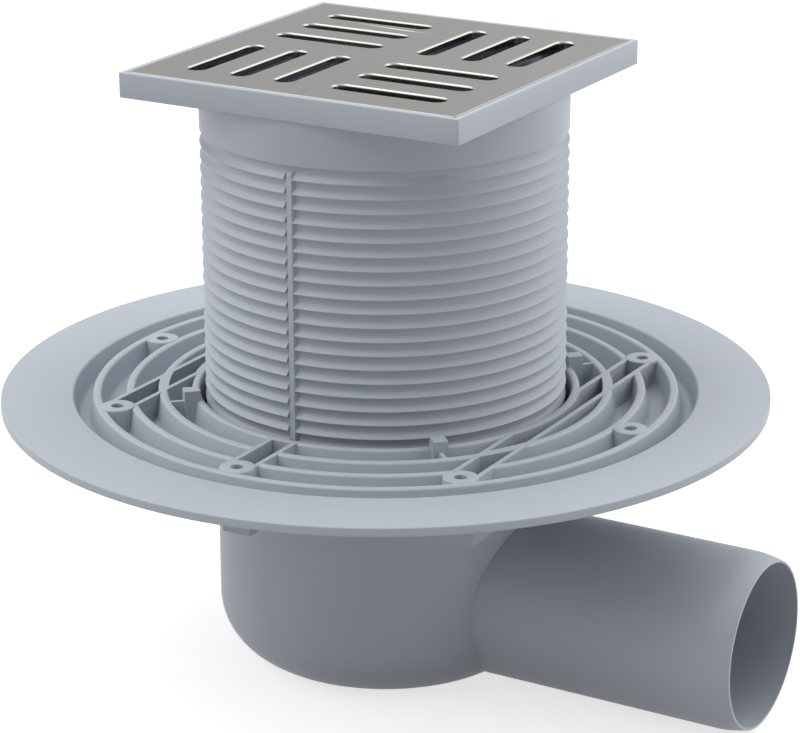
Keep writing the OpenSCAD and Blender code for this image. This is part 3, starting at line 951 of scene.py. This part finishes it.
web_chords, web_spokes = web_boxes(WEB_GAP + WEB_THICK, LEDGE_TOP, FLANGE_TOP, WEB_END)
webs = tool("webs", *web_chords, *web_spokes)
print("webs:", len(web_chords) + len(web_spokes))

# %% Bosses and feet
COLUMN_SLACK, FOOT_OVERLAP = 0.02, 1
boss_section = rounded(
    [(0, BOSS_FOOT, 0), (BOSS_RADIUS, BOSS_FOOT, 0), (BOSS_RADIUS, BOSS_TOP, BOSS_ROUND),
     (0, BOSS_TOP, 0)], fineness=30)
boss = mesh_of("boss", turned(boss_section, BOSS_STEPS, at=(BOSS_CIRCLE, 0, 0)))
bosses = tool("bosses", repeated(boss, 1, (0, 0, 0), BOSSES, grey_plastic))


def column(low, high, at):
    """Upright cylinder, a hair thinner than a boss."""
    radius = BOSS_RADIUS - COLUMN_SLACK
    return turned([(0, low), (radius, low), (radius, high), (0, high)], BOSS_STEPS, at=at)


lone_feet = tool("lone_feet", *[
    column(LEDGE_TOP, BOSS_FOOT + FOOT_OVERLAP, (s * BOSS_CIRCLE, 0, 0)) for s in (-1, 1)])

# %% [markdown]
# Four lugs stand up against the socket, a little higher than the collar, and a
# thin web ties each of them to the first ring. They are plain blocks, because
# their edges are too short to catch much light.

# %% Lugs
LUG_WIDTH, LUG_HEIGHT, LUG_REACH, LUG_WEB = 4, 3, 3.5, 1.2
LUG_TURNS = (45, 135, 225, 315)
LUG_OVERLAP, LUG_SUNK, LUG_WEB_LOW = 1, 0.5, 0.1
lugs = tool("lugs", *[block(
    (SOCKET_TOP_RADIUS - LUG_OVERLAP, -LUG_WIDTH / 2, PLATE_UNDER + LUG_SUNK),
    (SOCKET_TOP_RADIUS + LUG_REACH, LUG_WIDTH / 2, FLANGE_TOP + LUG_HEIGHT), turn)
    for turn in LUG_TURNS])
lug_webs = tool("lug_webs", *[block(
    (SOCKET_TOP_RADIUS + LUG_REACH - LUG_OVERLAP, -LUG_WEB / 2, PLATE_UNDER + LUG_SUNK),
    (RING_RADII[0] - RING_WIDTH / 2, LUG_WEB / 2, FLANGE_TOP - LUG_WEB_LOW), turn)
    for turn in LUG_TURNS])
for joined in (outlet, webs, lugs):
    worked(joined, ("DIFFERENCE", core))

# %% [markdown]
# The boxes are hollow from above. The same boxes, drawn narrower, make the
# pockets. They are kept between the socket and the third ring and away from the
# bosses, and those along the chords leave the first ring whole as well.

# %% Pockets in the webs
SOCKET_MARGIN, RING_MARGIN = 0.5, 0.3
POCKET_FLOOR, POCKET_TOP = LEDGE_TOP + 2, FLANGE_TOP + 5
CLEAR_HEIGHT = 100
ZONES = [(SOCKET_TOP_RADIUS + SOCKET_MARGIN, RING_RADII[0] - RING_WIDTH - RING_MARGIN),
         (RING_RADII[0] + RING_MARGIN, RING_RADII[2] - RING_WIDTH - RING_MARGIN)]


def tube(inner, outer):
    """Tall ring between two radii."""
    return turned([(inner, 0), (outer, 0), (outer, CLEAR_HEIGHT), (inner, CLEAR_HEIGHT)])


pocket_chords, pocket_spokes = web_boxes(WEB_GAP - WEB_THICK, POCKET_FLOOR, POCKET_TOP, 0)
chord_zone = tool("chord_zone", *[tube(*zone) for zone in ZONES])
spoke_zone = tool("spoke_zone", tube(ZONES[0][0], ZONES[1][1]))
one_column = mesh_of("column", column(0, CLEAR_HEIGHT, (BOSS_CIRCLE, 0, 0)))
columns = tool("columns", repeated(one_column, 1, (0, 0, 0), BOSSES, grey_plastic))
chord_pockets = worked(tool("chord_pockets", *pocket_chords),
                       ("INTERSECT", chord_zone), ("DIFFERENCE", columns))
spoke_pockets = worked(tool("spoke_pockets", *pocket_spokes),
                       ("INTERSECT", spoke_zone), ("DIFFERENCE", columns))

# %% Screw holes
SCREW_RADIUS, SCREW_DEPTH = 1.75, 14
SINK_DEPTH, SINK_WIDTH, ABOVE_BOSS = 0.2, 0.3, 0.1
hole_section = [
    (0, BOSS_TOP - SCREW_DEPTH), (SCREW_RADIUS, BOSS_TOP - SCREW_DEPTH),
    (SCREW_RADIUS, BOSS_TOP - SINK_DEPTH), (SCREW_RADIUS + SINK_WIDTH, BOSS_TOP + ABOVE_BOSS),
    (SCREW_RADIUS + SINK_WIDTH, BOSS_TOP + 1), (0, BOSS_TOP + 1)]
screw_hole = mesh_of("screw_hole", turned(hole_section, HOLE_STEPS, at=(BOSS_CIRCLE, 0, 0)))
screw_holes = tool("screw_holes", repeated(screw_hole, 1, (0, 0, 0), BOSSES, grey_plastic))

# %% Bore of the outlet
BORE_START, BORE_PAST = 38, 5
bore_end = OUTLET_END + BORE_PAST
outlet_bore = tool("outlet_bore", turned(
    [(0, BORE_START), (OUTLET_BORE, BORE_START), (OUTLET_BORE, bore_end), (0, bore_end)],
    OUTLET_STEPS, "X", (0, 0, OUTLET_AXIS)))
print("outlet bore from", BORE_START, "mm, wall, mm:", round(OUTLET_RADIUS - OUTLET_BORE, 2))

# %% The whole trap body
worked(body, *[("UNION", part) for part in (outlet, webs, bosses, lone_feet, lugs, lug_webs)],
       *[("DIFFERENCE", cut) for cut in (
           chord_pockets, spoke_pockets, screw_holes, outlet_bore)])
whole = bmesh.new()
whole.from_mesh(body.data)
body_mesh = finish_mesh(whole, "trap_body", sharp=32)
for helper in helpers:
    bpy.data.objects.remove(helper)
show("trap_body_moulding", body_mesh, grey_plastic, "body", "trap_body")

# %% [markdown]
# ## Studio
# A white floor, a pale grey world and a few large soft boxes. Light Path says
# which rays come from the camera, from a mirror-like surface or through a clear
# one. For those the floor glows a little, so that it reads as white paper and
# still takes the drain's soft shadow, and the world is a pale backdrop. Rays
# that light the drain meet a dimmer world, so that the soft boxes shape it.

# %% The rays that show the background
def background_level(graph, unseen, shown):
    """The shown level for rays that show the background, else the unseen one."""
    camera_ray, glossy_ray, transmission_ray = [
        graph.node("ShaderNodeLightPath", out=name) for name in (
            "Is Camera Ray", "Is Glossy Ray", "Is Transmission Ray")]
    return graph.node("ShaderNodeMapRange", values={
        "Value": camera_ray + glossy_ray + transmission_ray, "To Min": unseen, "To Max": shown})


# %% Floor
FLOOR_SIZE, FLOOR_GLOW = 14, 0.7
WHITE, MID_GREY = (1, 1, 1, 1), (0.5, 0.5, 0.5, 1)


def floor_finish():
    """Matt grey that takes a shadow, and glows only for rays that show it."""
    finish = Finish("pale_floor", Base_Color=MID_GREY, Roughness=0.9, Emission_Color=WHITE)
    finish.feed("Emission Strength", background_level(finish, 0, FLOOR_GLOW))
    return finish.material


def floor_sheet(size):
    """Square sheet, in metres, at the height of the bowl's underside."""
    half = size / 2
    corners = [(-half, -half, 0), (half, -half, 0), (half, half, 0), (-half, half, 0)]
    mesh = bpy.data.meshes.new("floor")
    mesh.from_pydata(corners, [], [(0, 1, 2, 3)])
    mesh.materials.append(floor_finish())
    return bpy.data.objects.new("floor", mesh)


floor = floor_sheet(FLOOR_SIZE)
bpy.context.scene.collection.objects.link(floor)
print("floor:", FLOOR_SIZE, "m across")

# %% World
WORLD_LIGHT, WORLD_SHOWN = 0.25, 0.6
world = bpy.data.worlds.new("pale_world")
bpy.context.scene.world = world
world.use_nodes = True
sky = world.node_tree.nodes["Background"]
sky.inputs["Color"].default_value = WHITE
shown_sky = background_level(Graph(world.node_tree), WORLD_LIGHT, WORLD_SHOWN)
world.node_tree.links.new(shown_sky.socket, sky.inputs["Strength"])
print("world lights at", WORLD_LIGHT, "and shows at", WORLD_SHOWN)

# %% [markdown]
# Five square lamps stand round the drain and look at its middle. Each is at least
# as wide as it is far away, so shadows are soft and the plastic shows no hard
# spots. The strong ones at left and right model the round walls, and the weak
# ones from above and behind lift the faces that those two don't reach.

# %% Soft boxes
TARGET = Vector((0.01, 0, 0.08))
BOX_DISTANCE = 1.2
SOFT_BOXES = {
    # name: (azimuth and elevation in degrees, width in metres, power in watts)
    "high_box": (-15, 68, 1.2, 4.0),
    "left_box": (-60, 45, 1.6, 11.0),
    "left_back_box": (-105, 45, 1.2, 2.0),
    "right_box": (128, 22, 1.8, 14.5),
    "back_box": (180, 50, 1.2, 3.4),
}


def soft_box(name, azimuth, elevation, width, power):
    """Square lamp that looks at the drain from the given direction."""
    light = bpy.data.lights.new(name, "AREA")
    light.shape, light.size, light.energy = "SQUARE", width, power
    lamp = bpy.data.objects.new(name, light)
    bpy.context.scene.collection.objects.link(lamp)
    turn = camera_matrix(Vector(), math.radians(azimuth), math.radians(elevation), 0)
    away = Matrix.Translation((0, 0, BOX_DISTANCE))
    lamp.matrix_world = Matrix.Translation(TARGET) @ turn @ away


for name, setting in SOFT_BOXES.items():
    soft_box(name, *setting)
print("soft boxes:", len(SOFT_BOXES), "of", sum(power for *_, power in SOFT_BOXES.values()), "W")

# %% Colours are shown as they are written
bpy.context.scene.view_settings.view_transform = "Standard"
print("view transform:", bpy.context.scene.view_settings.view_transform)
